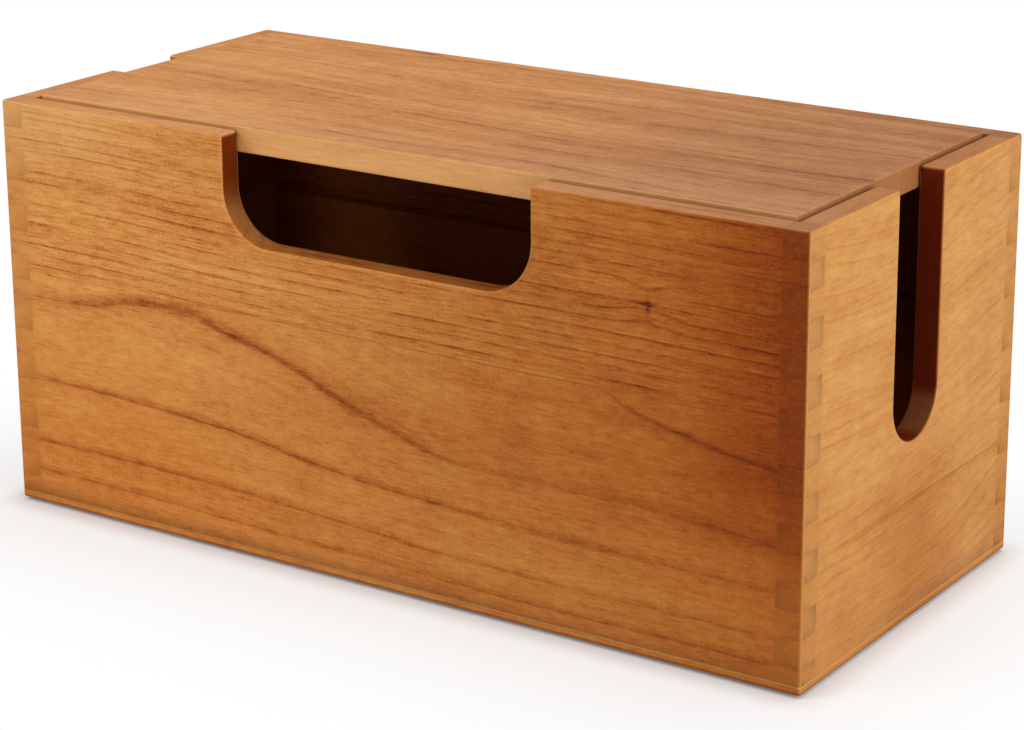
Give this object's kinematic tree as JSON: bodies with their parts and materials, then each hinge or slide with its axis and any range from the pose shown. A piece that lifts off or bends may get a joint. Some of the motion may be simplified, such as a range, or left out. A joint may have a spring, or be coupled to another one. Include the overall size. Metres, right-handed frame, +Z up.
{
  "type": "cable management box",
  "caption": "Rectangular wooden box that hides a power strip: box-jointed walls, a wide cable notch in front, a U slot in each end and a lift-off lid inside the rim.",
  "frame": {"origin": "middle of the surface that the four pads stand on", "axes": "+X along the length towards the right end, +Y from the notched front to the plain back, +Z up"},
  "size_m": [0.33, 0.152, 0.1544],
  "materials": {
    "stained_wood": "satin oiled, warm orange brown",
    "lid_wood": "satin oiled, tan brown",
    "base_wood": "satin oiled edge",
    "block_wood": "sawn, unstained",
    "pad_rubber": "matt"
  },
  "bodies": {
    "box": {"front_lower_stave": "stained_wood", "front_upper_stave": "stained_wood", "back_lower_stave": "stained_wood", "back_upper_stave": "stained_wood", "left_end_lower_stave": "stained_wood", "left_end_upper_stave": "stained_wood", "right_end_lower_stave": "stained_wood", "right_end_upper_stave": "stained_wood", "base_board": "base_wood", "corner_block_front_left": "block_wood", "corner_block_back_left": "block_wood", "corner_block_front_right": "block_wood", "corner_block_back_right": "block_wood", "foot_pad_front_left": "pad_rubber", "foot_pad_back_left": "pad_rubber", "foot_pad_front_right": "pad_rubber", "foot_pad_back_right": "pad_rubber"},
    "lid": {"lid_board": "lid_wood"}
  },
  "joints": [
    {"name": "lid_lift", "type": "slide", "parent": "box", "child": "lid", "axis": [0, 0, 1], "range_m": [0, 0.1]}
  ]
}
